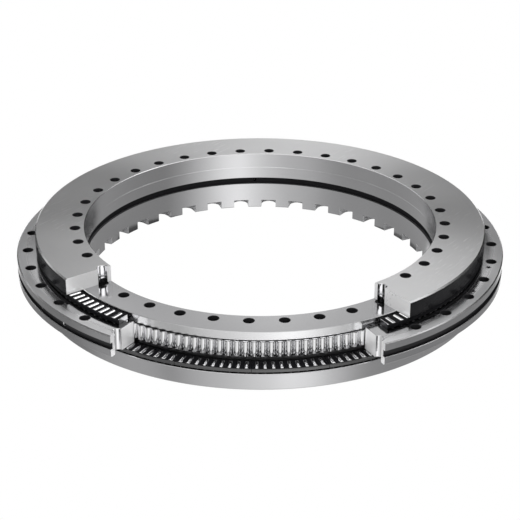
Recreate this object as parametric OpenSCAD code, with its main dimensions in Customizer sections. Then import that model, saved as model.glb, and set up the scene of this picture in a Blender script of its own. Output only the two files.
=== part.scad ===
// Rotary table bearing, shown as a cutaway: two rows of axial rollers in segmented cages,
// and one full row of radial rollers between an L-section ring and an outer ring.
// Millimetres. The origin is on the axis, midway along the radial rollers.
// +Z points up to the locating washer. The cutaway window faces -Y.

/* [Rings] */
// Bore of the L-section ring and of the locating washer
bore_d = 325; // [320:0.5:330]
// Outside diameter of the locating washer and of the L-section ring's flange
flange_d = 415; // [412:0.5:418]
// Outside diameter of the outer ring
outer_d = 450; // [445:0.5:455]
// Thickness of the locating washer and of the flange
plate_t = 15; // [14:0.25:16]
// Width of the outer ring along the axis
outer_w = 20; // [19:0.25:21]
// Height of each axial roller row, between a plate and the outer ring
row_h = 5; // [4.8:0.1:5.5]
// Chamfer on the rings' outer corners
edge_c = 0.9; // [0.4:0.1:1.5]

/* [Radial rollers] */
// Number of rollers in the full row
radial_count = 168; // [160:1:169]
// Diameter of a radial roller
radial_d = 7; // [6.8:0.05:7]
// Length of a radial roller
radial_l = 14; // [13:0.25:14.5]
// Radius of the circle through the radial rollers' axes
radial_r = 190; // [189.5:0.1:190.5]

/* [Axial rollers and cages] */
// Diameter of an axial roller
axial_d = 4.4; // [4:0.05:4.5]
// Length of an axial roller
axial_l = 11; // [10:0.25:11.5]
// Radius at the middle of an axial roller
axial_r = 199.9; // [199:0.1:200.5]
// Rollers in one cage segment
pockets = 9; // [7:1:9]
// Angle between two rollers of a segment
pocket_pitch = 1.95; // [1.8:0.01:1.96]
// Thickness of a cage
cage_t = 3.2; // [3:0.1:3.8]
// Inner radius of a cage
cage_ri = 192.3; // [192:0.1:193]
// Outer radius of a cage
cage_ro = 206.9; // [206:0.1:207.2]
// Chamfer on a cage's outer edges
cage_c = 0.6; // [0.2:0.1:0.8]

/* [Fixing holes] */
// Number of hole positions on each bolt circle
hole_count = 36; // [12:12:36]
// Bolt circle diameter of the washer and the L-section ring
inner_pcd = 342; // [340:0.5:344]
// Bolt circle diameter of the outer ring
outer_pcd = 430; // [428:0.5:432]
// Diameter of a fixing hole
hole_d = 9.3; // [9:0.1:9.5]
// Diameter of the counterbore for a screw head
head_bore_d = 15; // [14:0.25:15.5]
// Depth of the counterbore for a screw head
head_bore_h = 8.2; // [8:0.1:9]

/* [Lubrication] */
// Width of the groove round the outer ring
outer_groove_w = 6; // [5:0.25:7]
// Width of the groove round the bore
bore_groove_w = 7; // [6:0.25:8]
// Depth of both grooves
groove_depth = 2.5; // [2:0.1:3]
// Diameter of a lubrication hole
lube_d = 3; // [2.5:0.1:4]

/* [Retaining screws] */
// Diameter of the screw shank
screw_d = 8; // [7.5:0.1:8.2]
// Reach of the screw into the washer
screw_reach = 5; // [4:0.1:9]
// Diameter of the screw head
head_d = 13; // [12:0.1:13.5]

/* [Hidden] */
washer_from = 310;
washer_to = 220;
outer_from = 300;
outer_to = 240;
segments = 20;
segment_pitch = 360 / segments;
segment_gap = 0.1;
first_joint = 235.15;
first_pocket = (segment_pitch - (pockets - 1) * pocket_pitch) / 2;
right_stub = 3;
left_halved = 1;
right_halved = pockets - 2;
cage_to = roller_angle(0, left_halved);
cage_from = roller_angle(right_stub, right_halved);
radial_start = 269.47;
hole_pitch = 360 / hole_count;
half_h = outer_w / 2 + row_h + plate_t;
plate_z = half_h - plate_t;
row_z = (outer_w + row_h) / 2;
bore_r = bore_d / 2;
flange_r = flange_d / 2;
outer_r = outer_d / 2;
clearance = 0.3;
race_ri = radial_r - radial_d / 2 - clearance;
race_ro = radial_r + radial_d / 2 + clearance;
rib_r = 190.8;
end_play = 0.6;
rib_z = radial_l / 2 + end_play;
relief = 0.6;
small_c = 0.4;
pocket_d = 4.9;
pocket_l = axial_l + 0.3;
washer_corner_c = 1.2;
lube_angle = 95;
outer_lube_angles = [215, 225];
tapped_hole_r = 214;
tapped_hole_d = 3;
tapped_angles = [333.15, 346.74];
head_h = 7.6;
head_c = 0.5;
tip_c = 1;
thread_turns = 5;
seat_overrun = 3;
socket_af = 6;
socket_depth = 4;
hex_scale = 1 / cos(30);
thread_pitch = 1.25;
thread_depth = 0.55;
eps = 0.5;
$fn = 96;

// Angle of axial roller number k in cage segment number s, both counted from 0.
function roller_angle(s, k) = first_joint + s * segment_pitch + first_pocket
    + k * pocket_pitch;

// A ring sector from angle a0 to a1 between radii ri and ro, z0 to z1.
module sector(a0, a1, ri, ro, z0, z1) {
    rotate([0, 0, a0])
        rotate_extrude(angle = a1 - a0)
            translate([ri, z0])
                square([ro - ri, z1 - z0]);
}

// Drills copied to every hole position from angle a0 to a1.
module at_holes(pcd, a0, a1) {
    for (a = [a0 : hole_pitch : a1])
        rotate([0, 0, a])
            translate([pcd / 2, 0, 0])
                children();
}

// A radial drill for lubricant from radius ri to ro at angle a.
module lube_drill(a, ri, ro) {
    rotate([0, 0, a])
        translate([ri, 0, 0])
            rotate([0, 90, 0])
                cylinder(d = lube_d, h = ro - ri);
}

// The L-section ring: a flange with its axial raceway on top, and an upright
// with the radial raceway between two ribs.
module l_section_ring() {
    color("silver")
        difference() {
            rotate_extrude()
                polygon([
                    [bore_r, edge_c - half_h],
                    [bore_r + edge_c, -half_h],
                    [flange_r - edge_c, -half_h],
                    [flange_r, edge_c - half_h],
                    [flange_r, -plate_z - small_c],
                    [flange_r - small_c, -plate_z],
                    [rib_r + 2 * relief, -plate_z],
                    [rib_r + 2 * relief, -plate_z - relief],
                    [rib_r, -plate_z - relief],
                    [rib_r, -rib_z],
                    [race_ri, -rib_z],
                    [race_ri, rib_z],
                    [rib_r, rib_z],
                    [rib_r, plate_z - small_c],
                    [rib_r - small_c, plate_z],
                    [bore_r, plate_z]
                ]);
            bore_groove();
            lube_drill(lube_angle, bore_r, race_ri + eps);
            at_holes(inner_pcd, washer_to - 360, washer_to - hole_pitch)
                screw_seat();
        }
}

// The lubrication groove turned in the bore.
module bore_groove() {
    rotate_extrude()
        translate([bore_r - eps, -bore_groove_w / 2])
            square([groove_depth + eps, bore_groove_w]);
}

// A fixing hole with its counterbore, milled open to the bore.
module screw_seat() {
    translate([0, 0, -half_h - eps])
        cylinder(d = hole_d, h = half_h + plate_z + 2 * eps);
    translate([0, 0, -half_h - eps])
        cylinder(d = head_bore_d, h = head_bore_h + eps);
    translate([bore_r - seat_overrun - inner_pcd / 2, -head_bore_d / 2, -half_h - eps])
        cube([inner_pcd / 2 - bore_r + seat_overrun, head_bore_d, head_bore_h + eps]);
}

// The shaft locating washer, a flat ring with a quarter cut away.
module shaft_locating_washer() {
    color("silver")
        difference() {
            rotate_extrude()
                polygon([
                    [bore_r, plate_z],
                    [flange_r - small_c, plate_z],
                    [flange_r, plate_z + small_c],
                    [flange_r, half_h - washer_corner_c],
                    [flange_r - washer_corner_c, half_h],
                    [bore_r + edge_c, half_h],
                    [bore_r, half_h - edge_c]
                ]);
            sector(washer_to, washer_from, bore_r - eps, flange_r + eps,
                plate_z - eps, half_h + eps);
            at_holes(inner_pcd, washer_from - 360, washer_to)
                translate([0, 0, plate_z - eps])
                    cylinder(d = hole_d, h = plate_t + 2 * eps);
        }
}

// The outer ring, with a sixth cut away between two of its fixing holes.
module outer_ring() {
    color("gainsboro")
        difference() {
            rotate_extrude()
                polygon([
                    [race_ro, small_c - outer_w / 2],
                    [race_ro + small_c, -outer_w / 2],
                    [outer_r - edge_c, -outer_w / 2],
                    [outer_r, edge_c - outer_w / 2],
                    [outer_r, -outer_groove_w / 2],
                    [outer_r - groove_depth, -outer_groove_w / 2],
                    [outer_r - groove_depth, outer_groove_w / 2],
                    [outer_r, outer_groove_w / 2],
                    [outer_r, outer_w / 2 - edge_c],
                    [outer_r - edge_c, outer_w / 2],
                    [race_ro + small_c, outer_w / 2],
                    [race_ro, outer_w / 2 - small_c]
                ]);
            sector(outer_to, outer_from, race_ro - eps, outer_r + eps,
                -outer_w / 2 - eps, outer_w / 2 + eps);
            at_holes(outer_pcd, outer_from - 360, outer_to)
                translate([0, 0, -outer_w / 2 - eps])
                    cylinder(d = hole_d, h = outer_w + 2 * eps);
            for (a = outer_lube_angles)
                lube_drill(a, race_ro - eps, outer_r);
            for (a = tapped_angles)
                rotate([0, 0, a])
                    translate([tapped_hole_r, 0, 0])
                        cylinder(d = tapped_hole_d, h = outer_w);
        }
}

// A retaining screw in the hole at angle a, cut away with the washer above the joint.
module retaining_screw(a) {
    color("dimgray")
        difference() {
            rotate([0, 0, a])
                translate([inner_pcd / 2, 0, 0])
                    cap_screw();
            sector(washer_to, washer_from, bore_r, flange_r,
                plate_z, half_h);
        }
}

// A socket head cap screw, head down, with turned thread grooves at its tip.
module cap_screw() {
    head_top = -half_h + head_bore_h;
    tip = plate_z + screw_reach;
    difference() {
        union() {
            translate([0, 0, head_top - head_h])
                cylinder(d1 = head_d - 2 * head_c, d2 = head_d, h = head_c);
            translate([0, 0, head_top - head_h + head_c])
                cylinder(d = head_d, h = head_h - head_c);
            translate([0, 0, head_top])
                cylinder(d = screw_d, h = tip - head_top - tip_c);
            translate([0, 0, tip - tip_c])
                cylinder(d1 = screw_d, d2 = screw_d - 2 * tip_c, h = tip_c);
        }
        translate([0, 0, head_top - head_h])
            cylinder(d = socket_af * hex_scale, h = socket_depth, $fn = 6);
        for (k = [1 : thread_turns])
            translate([0, 0, tip - tip_c - k * thread_pitch])
                thread_groove();
    }
}

// One turned groove that stands for a turn of the thread.
module thread_groove() {
    rotate_extrude()
        polygon([
            [screw_d / 2 - thread_depth, thread_pitch / 2],
            [screw_d / 2 + eps, 0],
            [screw_d / 2 + eps, thread_pitch]
        ]);
}

// Cage segment number s at height z, with a pocket for each roller.
module cage_segment(s, z) {
    difference() {
        rotate([0, 0, first_joint + s * segment_pitch + segment_gap / 2])
            rotate_extrude(angle = segment_pitch - segment_gap)
                translate([0, z])
                    cage_profile();
        for (k = [0 : pockets - 1])
            pocket(roller_angle(s, k), z);
    }
}

// The section of a cage, chamfered outside.
module cage_profile() {
    half_t = cage_t / 2;
    polygon([
        [cage_ri, -half_t],
        [cage_ro - cage_c, -half_t],
        [cage_ro, cage_c - half_t],
        [cage_ro, half_t - cage_c],
        [cage_ro - cage_c, half_t],
        [cage_ri, half_t]
    ]);
}

// The room for one axial roller at angle a and height z.
module pocket(a, z) {
    rotate([0, 0, a])
        translate([axial_r - pocket_l / 2, 0, z])
            rotate([0, 90, 0])
                cylinder(d = pocket_d, h = pocket_l);
}

// Axial rollers number k0 to k1 of cage segment s at height z.
module segment_rollers(s, k0, k1, z) {
    for (k = [k0 : k1])
        axial_roller(roller_angle(s, k), z);
}

// An axial roller with chamfered ends, at angle a and height z.
module axial_roller(a, z) {
    rotate([0, 0, a])
        translate([axial_r, 0, z])
            rotate([0, 90, 0])
                roller(axial_d, axial_l);
}

// A turned roller of diameter d and length l, centred, with chamfered ends.
module roller(d, l) {
    rotate_extrude()
        polygon([
            [0, -l / 2],
            [d / 2 - small_c, -l / 2],
            [d / 2, small_c - l / 2],
            [d / 2, l / 2 - small_c],
            [d / 2 - small_c, l / 2],
            [0, l / 2]
        ]);
}

// Upper cage segment number n, counted from the right edge of the window.
module upper_cage(n) {
    color([0.12, 0.12, 0.13])
        cage_segment(right_stub + n, row_z);
}

// Lower cage segment number n, counted from the left edge of the window.
module lower_cage(n) {
    color([0.12, 0.12, 0.13])
        cage_segment(n - 1, -row_z);
}

// The stub of upper cage at the window's left edge.
module upper_cage_left_end() {
    color([0.12, 0.12, 0.13])
        difference() {
            cage_segment(0, row_z);
            window();
        }
}

// The stub of upper cage at the window's right edge.
module upper_cage_right_end() {
    color([0.12, 0.12, 0.13])
        difference() {
            cage_segment(right_stub, row_z);
            window();
        }
}

// The part of the upper row that is cut away.
module window() {
    sector(cage_to, cage_from, cage_ri - eps, cage_ro + eps,
        row_z - row_h / 2, row_z + row_h / 2);
}

// The rollers of the upper row, with one halved at each edge of the window.
module upper_axial_rollers() {
    color("white")
        difference() {
            upper_roller_set();
            window();
        }
}

// Every upper roller that the window leaves whole or halves.
module upper_roller_set() {
    segment_rollers(0, 0, left_halved, row_z);
    segment_rollers(right_stub, right_halved, pockets - 1, row_z);
    for (s = [right_stub + 1 : segments - 1])
        segment_rollers(s, 0, pockets - 1, row_z);
}

// The rollers of the lower row.
module lower_axial_rollers() {
    color("white")
        for (s = [0 : segments - 1])
            segment_rollers(s, 0, pockets - 1, -row_z);
}

// The full row of radial rollers, with no cage between them.
module radial_rollers() {
    color("white")
        for (k = [0 : radial_count - 1])
            rotate([0, 0, radial_start + k * 360 / radial_count])
                translate([radial_r, 0, 0])
                    roller(radial_d, radial_l);
}

l_section_ring();
shaft_locating_washer();
outer_ring();
retaining_screw(washer_to);  // retaining_screw_left
retaining_screw(washer_from);  // retaining_screw_right
upper_cage_left_end();
upper_cage_right_end();
upper_cage(1);  // upper_cage_01
upper_cage(2);  // upper_cage_02
upper_cage(3);  // upper_cage_03
upper_cage(4);  // upper_cage_04
upper_cage(5);  // upper_cage_05
upper_cage(6);  // upper_cage_06
upper_cage(7);  // upper_cage_07
upper_cage(8);  // upper_cage_08
upper_cage(9);  // upper_cage_09
upper_cage(10);  // upper_cage_10
upper_cage(11);  // upper_cage_11
upper_cage(12);  // upper_cage_12
upper_cage(13);  // upper_cage_13
upper_cage(14);  // upper_cage_14
upper_cage(15);  // upper_cage_15
upper_cage(16);  // upper_cage_16
lower_cage(1);  // lower_cage_01
lower_cage(2);  // lower_cage_02
lower_cage(3);  // lower_cage_03
lower_cage(4);  // lower_cage_04
lower_cage(5);  // lower_cage_05
lower_cage(6);  // lower_cage_06
lower_cage(7);  // lower_cage_07
lower_cage(8);  // lower_cage_08
lower_cage(9);  // lower_cage_09
lower_cage(10);  // lower_cage_10
lower_cage(11);  // lower_cage_11
lower_cage(12);  // lower_cage_12
lower_cage(13);  // lower_cage_13
lower_cage(14);  // lower_cage_14
lower_cage(15);  // lower_cage_15
lower_cage(16);  // lower_cage_16
lower_cage(17);  // lower_cage_17
lower_cage(18);  // lower_cage_18
lower_cage(19);  // lower_cage_19
lower_cage(20);  // lower_cage_20
upper_axial_rollers();
lower_axial_rollers();
radial_rollers();
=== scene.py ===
"""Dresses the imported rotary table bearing: fine meshes, procedural metals and a white studio.

Sizes repeat those of the CAD source, in millimetres. Angles are in degrees from +X about the bearing's
axis. Blender works in metres, so points are scaled by MM when they are made.
"""
import bpy
import bmesh
import math
from mathutils import Matrix, Vector


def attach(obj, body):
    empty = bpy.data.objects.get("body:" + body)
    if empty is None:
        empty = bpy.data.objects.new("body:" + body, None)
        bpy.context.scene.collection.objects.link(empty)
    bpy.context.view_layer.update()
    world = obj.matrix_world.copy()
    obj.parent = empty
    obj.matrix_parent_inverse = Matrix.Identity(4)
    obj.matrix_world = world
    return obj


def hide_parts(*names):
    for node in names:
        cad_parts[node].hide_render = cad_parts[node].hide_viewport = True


MM = 0.001
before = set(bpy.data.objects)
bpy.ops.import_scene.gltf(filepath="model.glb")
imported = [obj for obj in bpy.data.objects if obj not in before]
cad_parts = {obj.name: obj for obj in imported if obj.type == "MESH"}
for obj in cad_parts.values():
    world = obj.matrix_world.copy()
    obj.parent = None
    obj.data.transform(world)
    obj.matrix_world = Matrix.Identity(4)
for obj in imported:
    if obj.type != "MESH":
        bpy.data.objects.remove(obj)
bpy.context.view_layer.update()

# Camera, fitted to the rims and the bolt circles in the photo

CAM_AZ = 273.075
CAM_BACK = 1234.78
CAM_HEIGHT = 590.98
AIM_HEIGHT = -12.486
ROLL = -0.079
LENS = 100.917
SENSOR = 36.0

# Rings: radii, heights from the middle, and chamfers

BORE_R, FLANGE_R, OUTER_R = 162.5, 207.5, 225.0
RACE_RI, RACE_RO, RIB_R, RELIEF_R = 186.2, 193.8, 190.8, 192.0
HALF_H, PLATE_Z, OUTER_HALF, RIB_Z = 30.0, 15.0, 10.0, 7.6
RELIEF_DEPTH, GROOVE_DEPTH = 0.6, 2.5
BORE_GROOVE_HALF, OUTER_GROOVE_HALF = 3.5, 3.0
EDGE_C, SMALL_C, TOP_C, BORE_C = 0.9, 0.4, 1.2, 0.45
MOUTH_C, LIP_C, JOINT_C = 0.35, 0.35, 0.15

# Holes: two bolt circles with a place every ten degrees, and small holes

HOLE_STEP = 10.0
INNER_J, OUTER_J = 171.0, 215.0
HOLE_R, HEAD_BORE_R, HEAD_BORE_H = 4.65, 7.5, 8.2
SEAT_Z = HEAD_BORE_H - HALF_H
SMALL_R = 1.5
BORE_LUBE_AT, OUTER_LUBE_AT = 95.0, (215.0, 225.0)
TOP_HOLES_AT, TOP_HOLES_J, TOP_HOLE_C = (333.15, 346.74), 214.0, 0.5
LUBE_C, LUBE_SUNK = 0.7, 0.6
DRILL_FROM, SLOT_REACH = -26.0, 2.0

# Where each cut ring starts and ends, and the angles of its cut faces

WASHER_FROM, WASHER_TO = -50.0, 220.0
OUTER_FROM, OUTER_TO = -60.0, 240.0
WASHER_CUTS = (WASHER_TO, WASHER_FROM + 360.0)
OUTER_CUTS = (OUTER_TO, OUTER_FROM + 360.0)

# Rows: twenty cage segments with nine rollers each, and a full row of radial rollers

ROW_Z = 12.5
SEGMENTS, SEGMENT, FIRST_JOINT = 20, 18.0, 235.15
POCKETS, PITCH = 9, 1.95
FIRST_POCKET = (SEGMENT - (POCKETS - 1) * PITCH) / 2
CUT_SEGMENT, CUT_POCKET = 3, 7
CAGE_TO = FIRST_JOINT + FIRST_POCKET + PITCH
CAGE_FROM = FIRST_JOINT + CUT_SEGMENT * SEGMENT + FIRST_POCKET + CUT_POCKET * PITCH
CAGE_RI, CAGE_RO, CAGE_HALF = 192.3, 206.9, 1.6
CAGE_C, CAGE_RIM_C, CAGE_GAP = 0.2, 0.6, 0.05
POCKET_R, POCKET_PLAY = 2.45, 0.15
AXIAL_R, AXIAL_D, AXIAL_L = 199.9, 4.4, 11.0
RADIAL_R, RADIAL_D, RADIAL_L = 190.0, 7.0, 14.0
RADIAL_START, RADIAL_COUNT = 269.47, 168
ROLLER_C, ROLLER_FACE = 0.4, 0.5

# Retaining screws

SCREW_R, SCREW_HEAD_R, SCREW_HEAD_H, SCREW_TOP = 4.0, 6.5, 7.6, 20.0
THREAD_FROM, THREAD_PITCH, THREAD_DEPTH, THREAD_TIP = 8.0, 1.25, 0.7, 1.0
THREAD_CREST, THREAD_FLANKS = 0.15, 0.7
THREAD_ROUND, THREAD_STEP = 40, 0.1
# Height above which the black screw's end is painted light, as a painted highlight
HIGHLIGHT_TIP_FROM = 18.945
HEXAGON_R, HEXAGON_DEPTH = 6.0 / math.sqrt(3.0), 4.0

# How a face is told apart: the upright and the outward part of its normal, and how near it lies to a surface

UPRIGHT_BELOW, LEVEL_FROM, ACROSS_BELOW = 0.3, 0.95, 0.02
SLACK, CUT_SLACK = 0.1, 0.05

# How far a cutting tool goes past a surface, and the least angle of a sharp edge

OVER = 1.0
SHARP, ROLLER_SHARP, SCREW_SHARP = 30.0, 25.0, 40.0


def make_camera():
    data = bpy.data.cameras.new("camera")
    data.lens = LENS
    data.sensor_width = SENSOR
    data.clip_end = 20.0
    cam = bpy.data.objects.new("camera", data)
    bpy.context.scene.collection.objects.link(cam)
    az = math.radians(CAM_AZ)
    place = Vector((CAM_BACK * math.cos(az), CAM_BACK * math.sin(az), CAM_HEIGHT)) * MM
    aim = Vector((0, 0, AIM_HEIGHT)) * MM
    turn = (aim - place).to_track_quat("-Z", "Y").to_matrix().to_4x4()
    cam.matrix_world = Matrix.Translation(place) @ turn @ Matrix.Rotation(math.radians(-ROLL), 4, "Z")
    bpy.context.scene.camera = cam


# Mesh tools


def link(name, mesh):
    obj = bpy.data.objects.new(name, mesh)
    bpy.context.scene.collection.objects.link(obj)
    return obj


def mesh_of(bm, name):
    """The mesh of a bmesh, which is freed."""
    mesh = bpy.data.meshes.new(name)
    bm.to_mesh(mesh)
    bm.free()
    return mesh


def turned_row(bm, profile, angle):
    """The points of an (r, z) profile at an angle in radians."""
    c, s = math.cos(angle), math.sin(angle)
    return [bm.verts.new((r * c * MM, r * s * MM, z * MM)) for r, z in profile]


def skin(bm, one, two, closed):
    """Faces between two rows of points, and from last to first where the rows are closed."""
    for k in range(len(one) if closed else len(one) - 1):
        m = (k + 1) % len(one)
        bm.faces.new((one[k], two[k], two[m], one[m]))


def spin(profile, steps, start=0.0, end=360.0):
    """A ring turned from a closed (r, z) profile, or a stretch of it between two angles with flat ends."""
    bm = bmesh.new()
    whole = abs(end - start - 360.0) < 1e-6
    count = steps if whole else steps + 1
    rows = [turned_row(bm, profile, math.radians(start + (end - start) * i / steps)) for i in range(count)]
    for i in range(steps):
        skin(bm, rows[i], rows[(i + 1) % count], closed=True)
    if not whole:
        bm.faces.new(rows[0])
        bm.faces.new(list(reversed(rows[-1])))
    bmesh.ops.recalc_face_normals(bm, faces=bm.faces)
    return mesh_of(bm, "spin")


def rod(profile, steps):
    """A solid turned about Z from an open (r, z) profile, closed by flat ends."""
    bm = bmesh.new()
    rows = [turned_row(bm, profile, 2 * math.pi * i / steps) for i in range(steps)]
    for i in range(steps):
        skin(bm, rows[i], rows[(i + 1) % steps], closed=False)
    bm.faces.new([row[0] for row in rows])
    bm.faces.new([row[-1] for row in rows])
    bmesh.ops.recalc_face_normals(bm, faces=bm.faces)
    return mesh_of(bm, "rod")


def box(*sides):
    """A box from the lowest and highest x, y and z, for cutting."""
    bm = bmesh.new()
    bmesh.ops.create_cube(bm, size=1.0)
    for v in bm.verts:
        v.co = Vector([(low + high) / 2 + at * (high - low) for at, (low, high) in zip(v.co, sides)]) * MM
    return mesh_of(bm, "box")


def gather(name, mesh, places):
    """One mesh of copies of a mesh at the given matrices."""
    bm = bmesh.new()
    for place in places:
        start = len(bm.verts)
        bm.from_mesh(mesh)
        bm.verts.ensure_lookup_table()
        bmesh.ops.transform(bm, matrix=place, verts=bm.verts[start:])
    return mesh_of(bm, name)


def add_meshes(obj, *meshes):
    """Adds meshes to an object's own mesh."""
    bm = bmesh.new()
    for mesh in (obj.data, *meshes):
        bm.from_mesh(mesh)
    bm.to_mesh(obj.data)
    bm.free()


def cut(obj, mesh):
    """Cuts a mesh out of an object."""
    tool = link("tool", mesh)
    mod = obj.modifiers.new("cut", "BOOLEAN")
    mod.operation = "DIFFERENCE"
    mod.solver = "EXACT"
    mod.object = tool
    deps = bpy.context.evaluated_depsgraph_get()
    result = bpy.data.meshes.new_from_object(obj.evaluated_get(deps))
    obj.modifiers.clear()
    obj.data = result
    bpy.data.objects.remove(tool)


def smooth(obj, angle=SHARP):
    """Smooth shading, with edges sharper than an angle kept sharp."""
    obj.data.shade_smooth()
    obj.data.set_sharp_from_angle(angle=math.radians(angle))


def ready(obj, body, *nodes, slot):
    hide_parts(*nodes)
    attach(obj, body)


# Places about the bearing's axis


def turned(angle, r=0.0, z=0.0):
    """A place at radius r and height z, turned to an angle."""
    return Matrix.Rotation(math.radians(angle), 4, "Z") @ Matrix.Translation(Vector((r, 0, z)) * MM)


def along_radius(angle, r=0.0, z=0.0):
    """A place at radius r and height z whose own Z points outwards along the radius."""
    return turned(angle, r, z) @ Matrix.Rotation(math.radians(90), 4, "Y")


def bolt_circle(radius, first=0.0, last=360.0 - HOLE_STEP):
    """The places of a bolt circle's holes from one angle to another."""
    count = round((last - first) / HOLE_STEP) + 1
    return [turned(first + k * HOLE_STEP, radius) for k in range(count)]


def bolt_hole(low, high):
    """The space of a bolt hole between two heights, with a small chamfer at both mouths."""
    wide = HOLE_R + MOUTH_C + OVER
    profile = [(wide, low - OVER), (HOLE_R, low + MOUTH_C), (HOLE_R, high - MOUTH_C), (wide, high + OVER)]
    return rod(profile, 48)


# Materials


class Nodes:
    """A short way to write a node tree."""

    def __init__(self, tree):
        self.tree = tree
        tree.nodes.clear()

    def new(self, kind, inputs=(), **settings):
        node = self.tree.nodes.new(kind)
        for key, value in settings.items():
            setattr(node, key, value)
        for key, value in dict(inputs).items():
            socket = node.inputs[key]
            if isinstance(value, bpy.types.NodeSocket):
                self.tree.links.new(value, socket)
            else:
                socket.default_value = value
        return node

    def math(self, operation, a, b=0.0):
        return self.new("ShaderNodeMath", {0: a, 1: b}, operation=operation).outputs[0]

    def plus(self, a, b):
        return self.math("ADD", a, b)

    def times(self, a, b):
        return self.math("MULTIPLY", a, b)

    def spread(self, noise, amount):
        """A noise of 0 to 1 as a value about 0."""
        return self.times(self.math("SUBTRACT", noise, 0.5), amount)

    def noise(self, place, scale, detail, roughness=0.5):
        inputs = {"Vector": place, "Scale": scale, "Detail": detail, "Roughness": roughness}
        return self.new("ShaderNodeTexNoise", inputs).outputs[0]

    def ramp(self, value, *stops):
        """A level that runs through (place, level) stops."""
        node = self.new("ShaderNodeValToRGB", {0: value})
        band = node.color_ramp
        while len(band.elements) > 1:
            band.elements.remove(band.elements[-1])
        for i, (place, level) in enumerate(stops):
            stop = band.elements[0] if i == 0 else band.elements.new(place)
            stop.position = place
            stop.color = (level, level, level, 1.0)
        return node.outputs[0]

    def step(self, value, low, high, start=0.0, end=1.0):
        """A soft step from start to end while a value goes from low to high."""
        inputs = {0: value, 1: low, 2: high, 3: start, 4: end}
        return self.new("ShaderNodeMapRange", inputs, interpolation_type="SMOOTHSTEP").outputs[0]

    def mix(self, share, one, two):
        return self.new("ShaderNodeMix", {0: share, 2: one, 3: two}, data_type="FLOAT").outputs[0]

    def tinted(self, color, tone):
        """A colour made lighter or darker by a tone about 0."""
        inputs = {0: color, 3: self.plus(tone, 1.0)}
        return self.new("ShaderNodeVectorMath", inputs, operation="SCALE").outputs[0]

    def relief(self, height, strength, distance):
        inputs = {"Strength": strength, "Distance": distance, "Height": height}
        return self.new("ShaderNodeBump", inputs).outputs[0]

    def glow(self, strength):
        return self.new("ShaderNodeEmission", {"Color": (1, 1, 1, 1), "Strength": strength}).outputs[0]

    def principled(self, **inputs):
        """The material's shader, whose sockets are named with underscores for spaces."""
        named = {name.replace("_", " "): value for name, value in inputs.items()}
        self.show(self.new("ShaderNodeBsdfPrincipled", named).outputs[0])

    def show(self, shader):
        self.new("ShaderNodeOutputMaterial", {"Surface": shader})


def material(name):
    mat = bpy.data.materials.new(name)
    mat.use_nodes = True
    return mat, Nodes(mat.node_tree)


# Turned lines: how fine across and along, and how much they change tone and sheen; clouds change tone too

LINES_ACROSS, LINES_ALONG = 6.0, 1.3
LINE_TONE, LINE_SHEEN, CLOUD_TONE = 0.16, 0.14, 0.10
LINE_DEPTH, GRAIN_DEPTH = 0.00004, 0.00005

# Scuffs: their direction, and their size across and along, in metres

SCUFF_TURN, SCUFF_ACROSS, SCUFF_ALONG = math.radians(56), 1 / 900, 1 / 60

# How much of its roughness the part of a face keeps that is ground smooth

GROUND_SHARE = 0.25


def steel(name, color, rough, aniso, lines=1.0, side=False, scuffs=0.0, bump=0.15, ground=None):
    """Turned or ground steel: fine lines round the axis, clouded sheen and light scuffs.

    side makes the lines of an upright wall. ground gives two radii, between which a face goes from
    ground smooth to its full roughness.
    """
    mat, n = material(name)
    place = n.new("ShaderNodeTexCoord").outputs["Object"]
    x, y, z = n.new("ShaderNodeSeparateXYZ", {0: place}).outputs
    radius = n.times(n.math("SQRT", n.plus(n.times(x, x), n.times(y, y))), 1 / MM)
    across = n.times(n.times(z, 1 / MM) if side else radius, LINES_ACROSS)
    around = n.times(n.math("ARCTAN2", y, x), LINES_ALONG)
    grain_at = n.new("ShaderNodeCombineXYZ", {0: across, 1: around, 2: 0.0}).outputs[0]
    grain = n.noise(grain_at, scale=1.0, detail=5.0, roughness=0.65)
    cloud = n.noise(place, scale=22.0, detail=3.0)
    tone = n.plus(n.spread(grain, LINE_TONE * lines), n.spread(cloud, CLOUD_TONE))
    if scuffs:
        size = (SCUFF_ALONG, SCUFF_ACROSS, SCUFF_ALONG)
        stretched = {"Vector": place, "Rotation": (0, 0, SCUFF_TURN), "Scale": size}
        streak_at = n.new("ShaderNodeMapping", stretched, vector_type="TEXTURE").outputs[0]
        streak = n.noise(streak_at, scale=1.0, detail=2.0)
        patch = n.noise(place, scale=14.0, detail=1.0)
        marks = n.times(n.ramp(streak, (0.60, 0.0), (0.72, 1.0)), n.ramp(patch, (0.50, 0.0), (0.62, 1.0)))
        tone = n.plus(tone, n.times(marks, scuffs))
    roughness = n.plus(n.spread(grain, LINE_SHEEN), rough)
    if ground:
        limits = {0: radius, 1: ground[0], 2: ground[1], 3: GROUND_SHARE, 4: 1.0}
        roughness = n.times(roughness, n.new("ShaderNodeMapRange", limits).outputs[0])
    n.principled(Base_Color=n.tinted(color, tone), Metallic=1.0, Roughness=roughness,
                 Anisotropic=aniso, Anisotropic_Rotation=0.25,
                 Tangent=n.new("ShaderNodeTangent", direction_type="RADIAL", axis="Z").outputs[0],
                 Normal=n.relief(grain, bump, LINE_DEPTH))
    return mat


def plain(name, color, rough, metallic=0.0, grain=300.0, variation=0.12, bump=0.1, ior=1.5):
    """A matt or glossy material with a fine grain in its colour, roughness and relief."""
    mat, n = material(name)
    place = n.new("ShaderNodeTexCoord").outputs["Object"]
    fine = n.noise(place, scale=grain, detail=4.0)
    cloud = n.noise(place, scale=grain * 0.08, detail=2.0)
    tone = n.plus(n.spread(fine, variation), n.spread(cloud, variation))
    n.principled(Base_Color=n.tinted(color, tone), Metallic=metallic, IOR=ior,
                 Roughness=n.plus(n.times(tone, 0.4), rough), Normal=n.relief(fine, bump, GRAIN_DEPTH))
    return mat


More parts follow.
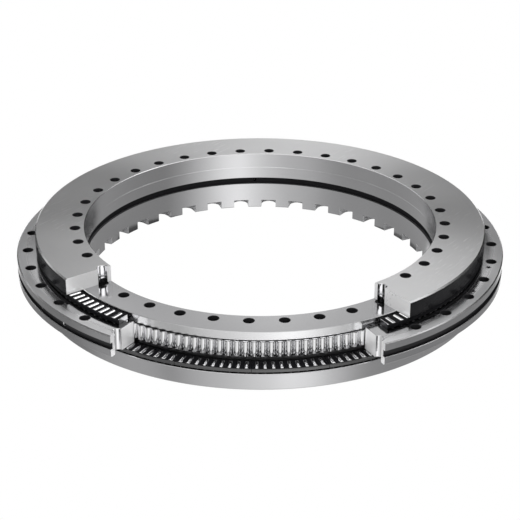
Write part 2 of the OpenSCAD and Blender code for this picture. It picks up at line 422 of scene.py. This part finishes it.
FACE = steel("turned_face", (0.60, 0.60, 0.605), 0.35, 0.9, scuffs=0.30)
OUTER_FACE = steel("turned_outer_face", (0.66, 0.66, 0.67), 0.38, 0.9, ground=(212.0, 220.0))
TOP_RACE = steel("raceway_face", (0.61, 0.61, 0.62), 0.12, 0.2, lines=0.5, bump=0.05)
SIDE = steel("turned_side", (0.55, 0.55, 0.56), 0.24, 0.5, side=True)
BORE = steel("ground_bore", (0.66, 0.66, 0.67), 0.20, 0.5, side=True)
# Ground steel of the upper rib wall, made much lighter than the ring's other steel as a painted highlight.
RIB_HIGHLIGHT = steel("ground_rib_painted_highlight", (0.90, 0.90, 0.91), 0.24, 0.5, side=True)
# Painted shade: the relief and lower rib wall under the radial rollers is a dark copy of the ring steel, so
# that it and its reflection in the rollers read as shade.
SHADED_RELIEF = steel("turned_relief_painted_shade", (0.16, 0.16, 0.165), 0.38, 0.3, side=True)
FLANGE_SIDE = steel("ground_flange", (0.66, 0.66, 0.67), 0.22, 0.4, side=True)
# Painted highlight: chamfers and sunk hole mouths take a lighter steel than the faces they join, to show as
# bright edge lines and glints.
EDGE_HIGHLIGHT = steel("edge", (0.85, 0.85, 0.86), 0.25, 0.0)
SECTION = plain("cut_face", (0.95, 0.95, 0.955), 0.28, metallic=0.42, grain=500.0, variation=0.05)
HALF_HOLE = plain("half_hole", (0.92, 0.92, 0.93), 0.08, metallic=1.0, grain=700.0, variation=0.05)
# Painted shade: the walls of whole holes are near black for the shade deep inside them; the same wall opened
# by a cut takes HALF_HOLE.
SHADED_HOLE = plain("drilled_hole_painted_shade", (0.022, 0.022, 0.024), 0.50, metallic=0.4, grain=900.0, variation=0.3)
# Painted shade: the lubrication grooves' floors and flanks are near-black copies of the ring steel, for the
# shade inside the grooves.
SHADED_GROOVE = plain("groove_painted_shade", (0.008, 0.008, 0.009), 0.5, grain=500.0, variation=0.3, ior=1.2)
SHADED_GROOVE_FLOOR = plain("groove_floor_painted_shade", (0.035, 0.035, 0.037), 0.35, metallic=0.6, grain=500.0, variation=0.3)
SHADED_GROOVE_FLANK = plain("groove_flank_painted_shade", (0.05, 0.05, 0.052), 0.50, grain=500.0, variation=0.3)
BAND = plain("outer_side_black", (0.010, 0.010, 0.011), 0.20, grain=600.0, variation=0.3, ior=1.25)
SEAT = plain("milled_seat", (0.66, 0.66, 0.67), 0.50, metallic=0.25, grain=400.0)
ROLLER = plain("roller_chrome", (0.85, 0.85, 0.86), 0.08, metallic=1.0, grain=900.0, variation=0.03,
               bump=0.01)
# Painted shade: the cut face of the halved roller at the right cut is a dark copy of the roller steel.
SHADED_CUT_ROLLER = plain("cut_roller_painted_shade", (0.10, 0.10, 0.105), 0.30, metallic=1.0, grain=900.0, variation=0.1)
CAGE = plain("cage_black", (0.006, 0.006, 0.007), 0.40, grain=700.0, variation=0.3, bump=0.05, ior=1.12)
# Painted sheen: a more reflective copy of the cage plastic, so that the lower cage's rim reads lighter than
# the upper cage's.
CAGE_RIM_SHEEN = plain("cage_rim_painted_sheen", (0.008, 0.008, 0.009), 0.25, grain=700.0, variation=0.3, bump=0.05, ior=2.2)
SCREW = plain("screw_black", (0.12, 0.12, 0.125), 0.25, metallic=1.0, grain=800.0, variation=0.3)
# Painted highlight: a light copy of the screw steel for the screw's end.
SCREW_TIP_HIGHLIGHT = plain("screw_tip_painted_highlight", (0.60, 0.60, 0.61), 0.25, metallic=1.0, grain=800.0, variation=0.2)


class Facet:
    """Where a face lies about the bearing's axis, and how it faces."""

    def __init__(self, face):
        x, y, z = face.center / MM
        self.r = math.hypot(x, y)
        self.angle = math.degrees(math.atan2(y, x)) % 360.0
        self.z = z
        self.outward = (face.normal.x * x + face.normal.y * y) / self.r
        self.upright = abs(face.normal.z) < UPRIGHT_BELOW
        self.level = abs(face.normal.z) >= LEVEL_FROM
        self.sloped = not (self.upright or self.level)

    def nearest_hole(self, bolt_r):
        """The distance to the nearest hole axis of a bolt circle, and that hole's angle."""
        at = round(self.angle / HOLE_STEP) * HOLE_STEP
        off = math.radians(self.angle - at)
        return math.hypot(self.r * math.cos(off) - bolt_r, self.r * math.sin(off)), at % 360.0


def paint(obj, pick, *materials):
    """Gives each face the material that pick returns for it."""
    obj.data.materials.clear()
    for mat in materials:
        obj.data.materials.append(mat)
    index = {mat.name: i for i, mat in enumerate(materials)}
    for face in obj.data.polygons:
        face.material_index = index[pick(Facet(face)).name]


def hole_or_cut(f, bolt_r, cuts=()):
    """The material of a bolt hole's wall or of a cut face, or None elsewhere."""
    distance, hole_at = f.nearest_hole(bolt_r)
    at_cut = any(abs(f.angle - angle) < CUT_SLACK for angle in cuts)
    beside_hole = at_cut and abs(f.outward) < ACROSS_BELOW and distance > HOLE_R
    if distance < HOLE_R + 2 * MOUTH_C and not f.level and not beside_hole:
        # Whole holes get the painted shade; halves opened by a cut get the bright drilled wall.
        return HALF_HOLE if hole_at in cuts else SHADED_HOLE
    return SECTION if at_cut else None


# Rings


def l_ring_material(f):
    holed = hole_or_cut(f, INNER_J)
    if holed is not None:
        return holed
    at_seat = f.nearest_hole(INNER_J)[0] < HEAD_BORE_R + SLOT_REACH
    if at_seat and f.z < SEAT_Z + SLACK and BORE_R + SLACK < f.r < INNER_J + HEAD_BORE_R + 5 * SLACK:
        return SEAT
    # The bore's groove takes the painted shade on its floor and flanks.
    if abs(f.z) < BORE_GROOVE_HALF + SLACK and BORE_R + SLACK < f.r < BORE_R + GROOVE_DEPTH + SLACK:
        return SHADED_GROOVE if f.upright else SHADED_GROOVE_FLANK
    if abs(f.z) < RIB_Z + SLACK and RACE_RI - SLACK < f.r < RIB_R + SLACK:
        return SIDE
    # The upper rib wall takes the painted highlight.
    if f.upright and f.z > RIB_Z and f.r > RIB_R - SLACK:
        return RIB_HIGHLIGHT
    # The lower rib wall and relief take the painted shade.
    if -PLATE_Z - RELIEF_DEPTH - SLACK < f.z < -RIB_Z and RIB_R - SLACK < f.r < RELIEF_R + SLACK:
        return SHADED_RELIEF
    if f.sloped:
        return EDGE_HIGHLIGHT
    if f.level:
        return TOP_RACE if f.z > SLACK - HALF_H else FACE
    return BORE if f.r < BORE_R + SLACK else FLANGE_SIDE


def build_l_ring():
    bottom, low, groove = -HALF_H, -PLATE_Z, BORE_GROOVE_HALF
    profile = [(BORE_R, bottom + EDGE_C), (BORE_R + EDGE_C, bottom), (FLANGE_R - EDGE_C, bottom),
               (FLANGE_R, bottom + EDGE_C), (FLANGE_R, low - SMALL_C), (FLANGE_R - SMALL_C, low),
               (RELIEF_R, low), (RELIEF_R, low - RELIEF_DEPTH), (RIB_R, low - RELIEF_DEPTH),
               (RIB_R, -RIB_Z), (RACE_RI, -RIB_Z), (RACE_RI, RIB_Z), (RIB_R, RIB_Z),
               (RIB_R, PLATE_Z - SMALL_C), (RIB_R - SMALL_C, PLATE_Z), (BORE_R + JOINT_C, PLATE_Z),
               (BORE_R, PLATE_Z - JOINT_C), (BORE_R, groove), (BORE_R + GROOVE_DEPTH, groove),
               (BORE_R + GROOVE_DEPTH, -groove), (BORE_R, -groove)]
    obj = link("l_section_ring_fine", spin(profile, 360))
    places = bolt_circle(INNER_J)
    cut(obj, gather("drills", bolt_hole(DRILL_FROM, PLATE_Z), places))
    cut(obj, gather("seats", rod([(HEAD_BORE_R, bottom - OVER), (HEAD_BORE_R, SEAT_Z)], 48), places))
    to_bore = (BORE_R - 3 * OVER - INNER_J, 0.0)
    slot = box(to_bore, (-HEAD_BORE_R, HEAD_BORE_R), (bottom - OVER, SEAT_Z))
    cut(obj, gather("slots", slot, places))
    lube = rod([(SMALL_R, BORE_R + GROOVE_DEPTH - OVER), (SMALL_R, RACE_RI + OVER)], 32)
    cut(obj, gather("lube", lube, [along_radius(BORE_LUBE_AT)]))
    paint(obj, l_ring_material,
          SHADED_HOLE, SEAT, SHADED_GROOVE, SHADED_GROOVE_FLANK, SIDE, RIB_HIGHLIGHT, SHADED_RELIEF, BORE, FLANGE_SIDE, EDGE_HIGHLIGHT, TOP_RACE, FACE)
    smooth(obj)
    ready(obj, "inner_ring", "l_section_ring", slot="ring_steel")


def washer_material(f):
    holed = hole_or_cut(f, INNER_J, WASHER_CUTS)
    if holed is not None:
        return holed
    if f.upright and f.r < BORE_R + SLACK:
        return BORE
    if f.upright and f.r > FLANGE_R - SLACK:
        return BAND
    if f.sloped:
        return EDGE_HIGHLIGHT
    return FACE if f.z > HALF_H - SLACK else TOP_RACE


def build_washer():
    profile = [(BORE_R + JOINT_C, PLATE_Z), (FLANGE_R - SMALL_C, PLATE_Z), (FLANGE_R, PLATE_Z + SMALL_C),
               (FLANGE_R, HALF_H - TOP_C), (FLANGE_R - TOP_C, HALF_H), (BORE_R + BORE_C, HALF_H),
               (BORE_R, HALF_H - BORE_C), (BORE_R, PLATE_Z + JOINT_C)]
    obj = link("shaft_locating_washer_fine", spin(profile, 270, WASHER_FROM, WASHER_TO))
    cut(obj, gather("drills", bolt_hole(PLATE_Z, HALF_H), bolt_circle(INNER_J, WASHER_FROM, WASHER_TO)))
    paint(obj, washer_material, HALF_HOLE, SHADED_HOLE, SECTION, BORE, BAND, EDGE_HIGHLIGHT, FACE, TOP_RACE)
    smooth(obj)
    ready(obj, "inner_ring", "shaft_locating_washer", slot="ring_steel")


def outer_ring_material(f):
    holed = hole_or_cut(f, OUTER_J, OUTER_CUTS)
    if holed is not None:
        return holed
    floor_r = OUTER_R - GROOVE_DEPTH
    off = math.radians(min(abs(f.angle - at) for at in TOP_HOLES_AT)) * TOP_HOLES_J
    from_top_hole = max(off, abs(f.r - TOP_HOLES_J))
    # Painted shade in the small top holes, over their walls and their widened mouths.
    if from_top_hole < SMALL_R + TOP_HOLE_C + SLACK and -SLACK < f.z < OUTER_HALF - SLACK:
        return SHADED_HOLE
    # Painted glints: the sunk mouths of the lubrication holes take the light edge steel.
    if abs(f.z) < SMALL_R + LUBE_C and floor_r - LUBE_SUNK < f.r < floor_r - SLACK / 2:
        return EDGE_HIGHLIGHT
    # The outer groove takes the painted shade on its floor and flanks.
    if abs(f.z) < OUTER_GROOVE_HALF + SLACK and f.r > floor_r - SLACK:
        return SHADED_GROOVE_FLOOR if f.upright else SHADED_GROOVE
    if f.sloped:
        return EDGE_HIGHLIGHT
    if f.level:
        return OUTER_FACE
    # Painted shade on the lubrication holes' walls.
    in_lube_hole = abs(f.z) < SMALL_R + SLACK and RACE_RO + SLACK < f.r < floor_r - SLACK
    return SHADED_HOLE if in_lube_hole else SIDE


def build_outer_ring():
    high, groove, floor_r = OUTER_HALF, OUTER_GROOVE_HALF, OUTER_R - GROOVE_DEPTH
    profile = [(RACE_RO, SMALL_C - high), (RACE_RO + SMALL_C, -high), (OUTER_R - EDGE_C, -high),
               (OUTER_R, EDGE_C - high), (OUTER_R, -groove - LIP_C), (OUTER_R - LIP_C, -groove),
               (floor_r, -groove), (floor_r, groove), (OUTER_R, groove), (OUTER_R, high - EDGE_C),
               (OUTER_R - EDGE_C, high), (RACE_RO + SMALL_C, high), (RACE_RO, high - SMALL_C)]
    obj = link("outer_ring_fine", spin(profile, 300, OUTER_FROM, OUTER_TO))
    cut(obj, gather("drills", bolt_hole(-high, high), bolt_circle(OUTER_J, OUTER_FROM, OUTER_TO)))
    wide = SMALL_R + TOP_HOLE_C
    small = rod([(SMALL_R, 0.0), (SMALL_R, high - TOP_HOLE_C), (wide, high), (wide, high + OVER)], 32)
    cut(obj, gather("small", small, [turned(at, TOP_HOLES_J) for at in TOP_HOLES_AT]))
    wide, sunk = SMALL_R + LUBE_C, floor_r - LUBE_SUNK
    profile = [(SMALL_R, RACE_RO - OVER), (SMALL_R, sunk), (wide, sunk + LUBE_C), (wide, floor_r + OVER)]
    lube = rod(profile, 32)
    cut(obj, gather("lube", lube, [along_radius(at) for at in OUTER_LUBE_AT]))
    paint(obj, outer_ring_material,
          HALF_HOLE, SHADED_HOLE, SECTION, SHADED_GROOVE, SHADED_GROOVE_FLOOR, EDGE_HIGHLIGHT, SIDE, OUTER_FACE)
    smooth(obj)
    ready(obj, "outer_ring", "outer_ring", slot="outer_ring_steel")


# Rollers


def roller(diameter, length, steps):
    """A roller along Z with rounded edges."""
    r, end, edge = diameter / 2, length / 2, ROLLER_C
    upper = [(r, end - edge - 0.1), (r - 0.3 * edge, end - 0.7 * edge), (r - edge, end),
             (r - edge - ROLLER_FACE, end)]
    lower = [(at, -z) for at, z in reversed(upper)]
    return rod(lower + upper, steps)


def roller_angles(first, last):
    """The angles of the axial rollers in the cage segments from first up to, but without, last."""
    starts = [FIRST_JOINT + s * SEGMENT + FIRST_POCKET for s in range(first, last)]
    return [start + k * PITCH for start in starts for k in range(POCKETS)]


def halved_roller(whole, angle, side):
    """An upper roller halved by a cut at its angle; side is 1 where the half after the angle stays."""
    bm = bmesh.new()
    bm.from_mesh(gather("halved", whole, [along_radius(angle, AXIAL_R, ROW_Z)]))
    off = Vector((-math.sin(math.radians(angle)), math.cos(math.radians(angle)), 0)) * -side
    everything = bm.verts[:] + bm.edges[:] + bm.faces[:]
    bmesh.ops.bisect_plane(bm, geom=everything, plane_co=(0, 0, 0), plane_no=off, clear_outer=True)
    bmesh.ops.holes_fill(bm, edges=[e for e in bm.edges if e.is_boundary])
    bmesh.ops.recalc_face_normals(bm, faces=bm.faces)
    return mesh_of(bm, "halved")


def build_row(row, body, rollers):
    """A row of whole rollers as one piece."""
    obj = link(row + "_fine", rollers)
    obj.data.materials.append(ROLLER)
    smooth(obj, ROLLER_SHARP)
    ready(obj, body, row, slot="roller_steel")


def build_upper_row(axial):
    """The upper row, whose first and last rollers are halved by the washer's cut."""
    angles = roller_angles(0, 1)[:1] + roller_angles(CUT_SEGMENT, SEGMENTS)[CUT_POCKET + 1:]
    rollers = gather("upper", axial, [along_radius(a, AXIAL_R, ROW_Z) for a in angles])
    obj = link("upper_axial_rollers_fine", rollers)
    add_meshes(obj, halved_roller(axial, CAGE_TO, -1), halved_roller(axial, CAGE_FROM, 1))
    # The right cut's roller face takes the painted shade.
    paint(obj, lambda f: SHADED_CUT_ROLLER if abs(f.angle - CAGE_FROM) < CUT_SLACK / 2 else ROLLER,
          ROLLER, SHADED_CUT_ROLLER)
    smooth(obj, ROLLER_SHARP)
    ready(obj, "upper_row", "upper_axial_rollers", slot="roller_steel")


def build_rollers():
    pitch = 360 / RADIAL_COUNT
    places = [turned(RADIAL_START + k * pitch, RADIAL_R) for k in range(RADIAL_COUNT)]
    build_row("radial_rollers", "radial_row", gather("radial", roller(RADIAL_D, RADIAL_L, 40), places))
    axial = roller(AXIAL_D, AXIAL_L, 32)
    places = [along_radius(a, AXIAL_R, -ROW_Z) for a in roller_angles(0, SEGMENTS)]
    build_row("lower_axial_rollers", "lower_row", gather("lower", axial, places))
    build_upper_row(axial)


# Cages


def cage_segment(start, end, pockets):
    """A cage segment about z = 0 between two angles, with pockets at the given angles."""
    t, c, rim = CAGE_HALF, CAGE_C, CAGE_RIM_C
    profile = [(CAGE_RI, c - t), (CAGE_RI + c, -t), (CAGE_RO - rim, -t), (CAGE_RO, rim - t),
               (CAGE_RO, t - rim), (CAGE_RO - rim, t), (CAGE_RI + c, t), (CAGE_RI, t - c)]
    obj = link("segment", spin(profile, max(2, round((end - start) * 2)), start, end))
    half = AXIAL_L / 2 + POCKET_PLAY
    pocket = rod([(POCKET_R, -half), (POCKET_R, half)], 40)
    cut(obj, gather("pockets", pocket, [along_radius(a, AXIAL_R) for a in pockets]))
    mesh = obj.data
    bpy.data.objects.remove(obj)
    return mesh


def build_cages():
    pockets = [FIRST_POCKET + k * PITCH for k in range(POCKETS)]
    whole = cage_segment(CAGE_GAP, SEGMENT - CAGE_GAP, pockets)
    joints = [FIRST_JOINT + k * SEGMENT for k in range(SEGMENTS)]
    first_whole = CUT_SEGMENT + 1
    lower = link("lower_cage_fine", gather("lower", whole, [turned(a, 0, -ROW_Z) for a in joints]))
    places = [turned(a, 0, ROW_Z) for a in joints[first_whole:]]
    upper = link("upper_cage_fine", gather("upper", whole, places))
    left = cage_segment(joints[0] + CAGE_GAP, CAGE_TO, [joints[0] + p for p in pockets])
    right = cage_segment(CAGE_FROM, joints[first_whole] - CAGE_GAP,
                         [joints[CUT_SEGMENT] + p for p in pockets])
    for stub in (left, right):
        stub.transform(Matrix.Translation((0, 0, ROW_Z * MM)))
    add_meshes(upper, left, right)
    # The lower cage's rim gets the painted sheen; the upper cage's rim stays plain cage plastic.
    for obj, rim in ((lower, CAGE_RIM_SHEEN), (upper, CAGE)):
        paint(obj, lambda f: rim if f.r > CAGE_RO - CAGE_RIM_C - SLACK and not f.level else CAGE,
              CAGE, CAGE_RIM_SHEEN)
        smooth(obj)
    lower_nodes = ["lower_cage_%02d" % k for k in range(1, SEGMENTS + 1)]
    upper_nodes = ["upper_cage_%02d" % k for k in range(1, SEGMENTS - CUT_SEGMENT)]
    ready(lower, "lower_row", *lower_nodes, slot="cage_black")
    ready(upper, "upper_row", "upper_cage_left_end", "upper_cage_right_end", *upper_nodes, slot="cage_black")


# Screws


def thread(low, high):
    """A threaded rod between two heights, with one helical groove and a chamfered tip."""
    bm = bmesh.new()
    count = round((high - low) / THREAD_STEP)
    rows = []
    for i in range(count + 1):
        z = low + (high - low) * i / count
        row = []
        for k in range(THREAD_ROUND):
            share = k / THREAD_ROUND
            from_floor = abs(2 * ((z / THREAD_PITCH - share) % 1.0) - 1)
            sunk = min(1.0, max(0.0, (1.0 - THREAD_CREST - from_floor) / THREAD_FLANKS))
            r = min(SCREW_R - THREAD_DEPTH * sunk, SCREW_R - THREAD_TIP + high - z)
            row += turned_row(bm, [(r, z)], 2 * math.pi * share)
        rows.append(row)
    for one, two in zip(rows, rows[1:]):
        skin(bm, one, two, closed=True)
    bm.faces.new(rows[0])
    bm.faces.new(rows[-1])
    bmesh.ops.recalc_face_normals(bm, faces=bm.faces)
    return mesh_of(bm, "thread")


def build_screw(node, angle, side):
    """A retaining screw whose half on one side of its hole's cut stays above the L-section ring."""
    r, head, top = SCREW_R, SCREW_HEAD_R, SEAT_Z
    bottom = top - SCREW_HEAD_H
    profile = [(head - 0.9, bottom), (head - 0.3, bottom + 0.12), (head, bottom + 0.5), (head, top - 0.3),
               (head - 0.2, top), (r + 0.3, top), (r, top + 0.3), (r, THREAD_FROM + 0.2)]
    obj = link(node + "_fine", rod(profile, 64))
    cut(obj, rod([(HEXAGON_R, bottom - OVER), (HEXAGON_R, bottom + HEXAGON_DEPTH)], 6))
    threaded = link("thread", thread(THREAD_FROM, SCREW_TOP))
    away = sorted((0.0, 1.5 * r * side))
    cut(threaded, box((-1.5 * r, 1.5 * r), away, (PLATE_Z, SCREW_TOP + OVER)))
    add_meshes(obj, threaded.data)
    bpy.data.objects.remove(threaded)
    obj.data.transform(turned(angle, INNER_J))
    # The top of each screw takes the painted highlight; the rest stays black.
    paint(obj, lambda f: SCREW_TIP_HIGHLIGHT if f.z > HIGHLIGHT_TIP_FROM else SCREW, SCREW, SCREW_TIP_HIGHLIGHT)
    smooth(obj, SCREW_SHARP)
    ready(obj, "inner_ring", node, slot="screw_black")


# Studio: a floor that the camera sees as white and no reflection shows, and dim cards under the bore

CARDS = (
    ("flag_left_near", (154.0, 182.0), (0.0, 58.0), 0.30),
    ("flag_left_far", (163.0, 182.0), (58.0, 135.0), 0.08),
    ("flag_right", (19.0, 5.0), (0.0, 120.0), 0.12),
)
LAMPS = (
    ("key", (0.9, -0.7, 1.2), 9.5),
    ("fill", (-1.1, -0.8, 0.8), 8.0),
)
LAMP_SIZE = 0.8
FLOOR_HALF, FLOOR_BELOW, CARD_BELOW = 6.0, 0.0002, 0.0001
PLAIN_LEVEL = 0.85

# The way that the camera's rays take from the bore's wall, beyond twice the wall's angle

MIRRORED_WAY = 87.0

# Mirrored levels by azimuth: for rays that go steeply down, for rays that go down, and of a band in front

STEEP = ((0, 0.36), (60, 0.36), (100, 0.30), (150, 0.20), (172, 0.23), (190, 0.48), (205, 0.55),
         (217, 0.50), (227, 0.33), (240, 0.58), (262, 0.78), (280, 0.95), (289, 1.10), (299, 1.00),
         (309, 0.72), (328, 0.34), (360, 0.36))
LOW = ((0, 0.27), (57, 0.36), (67, 1.30), (76, 1.70), (112, 1.70), (122, 0.40), (175, 0.36),
       (205, 0.30), (217, 0.33), (235, 0.55), (255, 0.65), (270, 0.85), (287, 1.25), (298, 1.10),
       (312, 0.74), (327, 0.44), (340, 0.26), (360, 0.27))
FRONT = ((0, 0.0), (238, 0.0), (256, 1.8), (312, 1.8), (328, 0.0))

# Mirrored levels of the room's walls and of its ceiling, in front and behind

WALLS, CEILING_FRONT, CEILING_BACK = 0.02, 1.0, 2.45

# Elevations between which one part of the studio passes into the next

STEEP_TO_LOW, LOW_TO_ROOM, WALLS_TO_CEILING = (-28.5, -25.0), (-12.0, -3.0), (39.0, 75.0)
FRONT_FROM, FRONT_TO = (8.0, 14.0), (30.0, 38.0)

# Soft round panels that the steel mirrors: azimuth, elevation, reach and level

PANELS = (
    (80.6, 31.7, 8.0, 2.6),
    (105.4, 32.2, 10.2, 1.8),
    (92.3, 26.6, 8.5, 0.92),
    (89.9, 15.2, 8.0, 2.9),
    (36.0, 46.0, 26.0, 1.3),
    (150.0, 46.0, 26.0, 1.15),
    (9.0, 42.0, 16.0, 1.3),
    (143.0, 20.0, 13.0, 1.3),
)


def build_floor():
    bm = bmesh.new()
    bmesh.ops.create_grid(bm, x_segments=1, y_segments=1, size=FLOOR_HALF)
    floor = link("floor", mesh_of(bm, "floor"))
    floor.location.z = -HALF_H * MM - FLOOR_BELOW
    mat, n = material("floor_white")
    seen = n.new("ShaderNodeLightPath").outputs["Is Camera Ray"]
    matt = n.new("ShaderNodeBsdfDiffuse", {"Color": (0.9, 0.9, 0.9, 1)}).outputs[0]
    n.show(n.new("ShaderNodeMixShader", {0: seen, 1: matt, 2: n.glow(1.0)}).outputs[0])
    floor.data.materials.append(mat)
    floor.visible_glossy = False


def build_card(name, angles, reaches, level):
    """A dim card under the bore, as a studio flag is: the bore's wall between two angles mirrors it.

    The card lies where the camera's rays go from the wall, between two distances from it.
    """
    first, last = angles
    near, far = reaches
    bm = bmesh.new()
    corners = []
    for at, reach in ((first, near), (first, far), (last, far), (last, near)):
        wall, way = math.radians(at), math.radians(2 * at + MIRRORED_WAY)
        corners.append(bm.verts.new(((BORE_R * math.cos(wall) + reach * math.cos(way)) * MM,
                                     (BORE_R * math.sin(wall) + reach * math.sin(way)) * MM, 0.0)))
    bm.faces.new(corners)
    card = link(name, mesh_of(bm, name))
    card.location.z = -HALF_H * MM - CARD_BELOW
    mat, n = material(name)
    n.show(n.glow(level))
    card.data.materials.append(mat)
    card.visible_camera = False
    card.visible_diffuse = False
    card.visible_shadow = False
    card.visible_transmission = False


def build_world():
    """A studio all round, which only mirrored rays see: other rays meet a plain level.

    It is a grey room with a bright ceiling, soft panels behind and at the sides, a band of light in
    front, and levels below the horizon that change round the object.
    """
    world = bpy.data.worlds.new("studio")
    bpy.context.scene.world = world
    world.use_nodes = True
    n = Nodes(world.node_tree)
    way = n.new("ShaderNodeTexCoord").outputs["Generated"]
    x, y, z = n.new("ShaderNodeSeparateXYZ", {0: way}).outputs
    turn = n.math("FRACT", n.plus(n.math("DIVIDE", n.math("ARCTAN2", y, x), 2 * math.pi), 1.0))

    def around(stops):
        return n.ramp(turn, *[(azimuth / 360.0, level) for azimuth, level in stops])

    def rise(elevations, start=0.0, end=1.0):
        """A soft step between two elevations."""
        low, high = elevations
        return n.step(z, math.sin(math.radians(low)), math.sin(math.radians(high)), start, end)

    def panel(azimuth, elevation, reach, level):
        a, e = math.radians(azimuth), math.radians(elevation)
        toward = (math.cos(e) * math.cos(a), math.cos(e) * math.sin(a), math.sin(e))
        facing = n.new("ShaderNodeVectorMath", {0: way, 1: toward}, operation="DOT_PRODUCT")
        off = n.math("ARCCOSINE", n.math("MINIMUM", facing.outputs["Value"], 1.0))
        off = n.times(off, 180 / math.pi)
        return n.step(off, 0.0, reach, level, 0.0)

    below = n.mix(rise(STEEP_TO_LOW), around(STEEP), around(LOW))
    ceiling = n.mix(n.step(y, -0.3, 0.3), CEILING_FRONT, CEILING_BACK)
    room = n.mix(rise(WALLS_TO_CEILING), WALLS, ceiling)
    for settings in PANELS:
        room = n.plus(room, panel(*settings))
    front = n.times(rise(FRONT_FROM), rise(FRONT_TO, 1.0, 0.0))
    room = n.plus(room, n.times(front, around(FRONT)))
    mirrored = n.mix(rise(LOW_TO_ROOM), below, room)
    rays = n.new("ShaderNodeLightPath").outputs
    level = n.mix(rays["Is Glossy Ray"], PLAIN_LEVEL, mirrored)
    level = n.mix(rays["Is Camera Ray"], level, 1.0)
    sky = n.new("ShaderNodeBackground", {"Color": (1, 1, 1, 1), "Strength": level}).outputs[0]
    n.new("ShaderNodeOutputWorld", {"Surface": sky})


def build_lamp(name, place, power):
    """A square lamp that faces the middle of the object and shows in no reflection."""
    data = bpy.data.lights.new(name, "AREA")
    data.shape = "RECTANGLE"
    data.size = LAMP_SIZE
    data.size_y = LAMP_SIZE
    data.energy = power
    lamp = bpy.data.objects.new(name, data)
    bpy.context.scene.collection.objects.link(lamp)
    place = Vector(place)
    lamp.matrix_world = Matrix.Translation(place) @ (-place).to_track_quat("-Z", "Y").to_matrix().to_4x4()
    lamp.visible_glossy = False


make_camera()
build_l_ring()
build_washer()
build_outer_ring()
build_rollers()
build_cages()
build_screw("retaining_screw_left", WASHER_CUTS[0], 1)
build_screw("retaining_screw_right", WASHER_CUTS[1], -1)
build_floor()
for card_settings in CARDS:
    build_card(*card_settings)
build_world()
for lamp_settings in LAMPS:
    build_lamp(*lamp_settings)
bpy.context.scene.view_settings.view_transform = "Standard"
bpy.context.scene.view_settings.look = "None"
